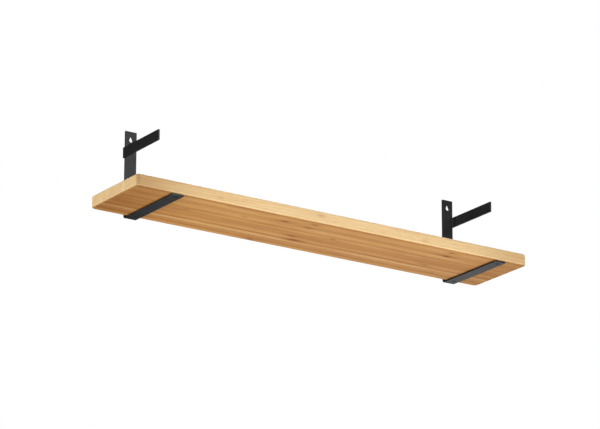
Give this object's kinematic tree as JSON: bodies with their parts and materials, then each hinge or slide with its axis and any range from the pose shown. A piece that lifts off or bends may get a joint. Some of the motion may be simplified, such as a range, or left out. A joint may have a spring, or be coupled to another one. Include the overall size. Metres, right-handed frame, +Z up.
{
  "type": "wall shelf with brackets",
  "caption": "Long wooden wall shelf on black flat-bar L brackets with keyholes and short upright side arms above the board.",
  "frame": {"origin": "on the wall's surface, midway between the centres of the two keyholes' round parts", "axes": "+X along the wall and the board, to the right as seen from the room; +Y into the wall; +Z up"},
  "size_m": [0.9, 0.1783, 0.1755],
  "materials": {
    "pine": "satin oiled pine",
    "black_coat": "satin black powder coat on steel",
    "black_weld": "weld bead under the same powder coat",
    "black_screw": "black phosphated steel screw"
  },
  "bodies": {
    "root": {"board_stave_back": "pine", "board_stave_inner": "pine", "board_stave_outer": "pine", "board_stave_front": "pine", "bracket_bar_left": "black_coat", "bracket_bar_right": "black_coat", "side_arm_left": "black_coat", "side_arm_right": "black_coat", "arm_weld_left": "black_weld", "arm_weld_right": "black_weld", "screw_left_back": "black_screw", "screw_left_front": "black_screw", "screw_right_back": "black_screw", "screw_right_front": "black_screw"}
  },
  "joints": []
}
